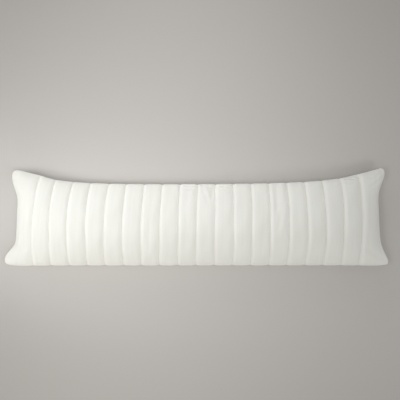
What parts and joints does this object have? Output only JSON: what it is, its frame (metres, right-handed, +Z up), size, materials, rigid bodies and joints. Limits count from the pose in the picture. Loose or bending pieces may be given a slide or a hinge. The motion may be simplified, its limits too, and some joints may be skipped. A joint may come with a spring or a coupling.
{
  "type": "long channelled throw pillow",
  "caption": "Long rectangular throw pillow in ivory velvet, its front sewn in upright channels, with drawn-in ends and pointed corner ears, lying on its back.",
  "frame": {"origin": "on the surface that the pillow lies on, under the middle of its outline", "axes": "+X along the pillow, +Y across it to its upper long edge, +Z up, out of its channelled front"},
  "size_m": [1.2088, 0.3092, 0.1308],
  "materials": {
    "velvet": "short ivory pile, matt with a soft sheen"
  },
  "bodies": {
    "root": {"pillow": "velvet"}
  },
  "joints": []
}
